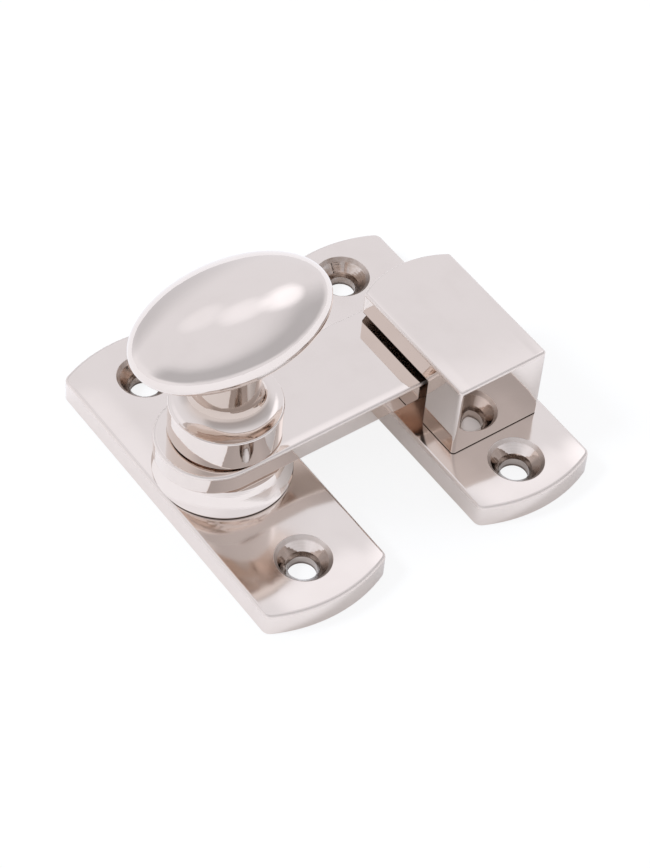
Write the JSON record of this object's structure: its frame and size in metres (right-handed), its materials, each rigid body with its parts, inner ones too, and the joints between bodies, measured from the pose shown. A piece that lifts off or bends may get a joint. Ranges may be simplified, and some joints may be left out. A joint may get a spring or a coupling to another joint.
{
  "type": "cupboard catch latch",
  "caption": "Cupboard turn catch: an oval knob turns a flat arm on a screwed base plate, into a hooked keeper on a plate of its own.",
  "frame": {"origin": "on the pivot axis, level with the backs of both plates: the middle of the base plate's screw pattern", "axes": "+Z out of the door along the pivot, +X from the pivot to the keeper, -Y to the near end of the plates"},
  "size_m": [0.056, 0.051, 0.0348],
  "materials": {
    "polished_nickel": "cast brass, nickel plated and mirror polished",
    "steel": "turned steel, bright"
  },
  "bodies": {
    "base": {"base_plate": "polished_nickel", "pivot_collar": "polished_nickel", "disc_spring": "steel", "keeper_plate": "polished_nickel", "keeper_hook": "polished_nickel", "hook_screws": "steel"},
    "latch": {"pivot_bolt": "steel", "latch_arm": "polished_nickel", "oval_knob": "polished_nickel"}
  },
  "joints": [
    {"name": "latch_turn", "type": "hinge", "parent": "base", "child": "latch", "pos_m": [0, 0, 0], "axis": [0, 0, 1], "range_deg": [0, 310]}
  ]
}
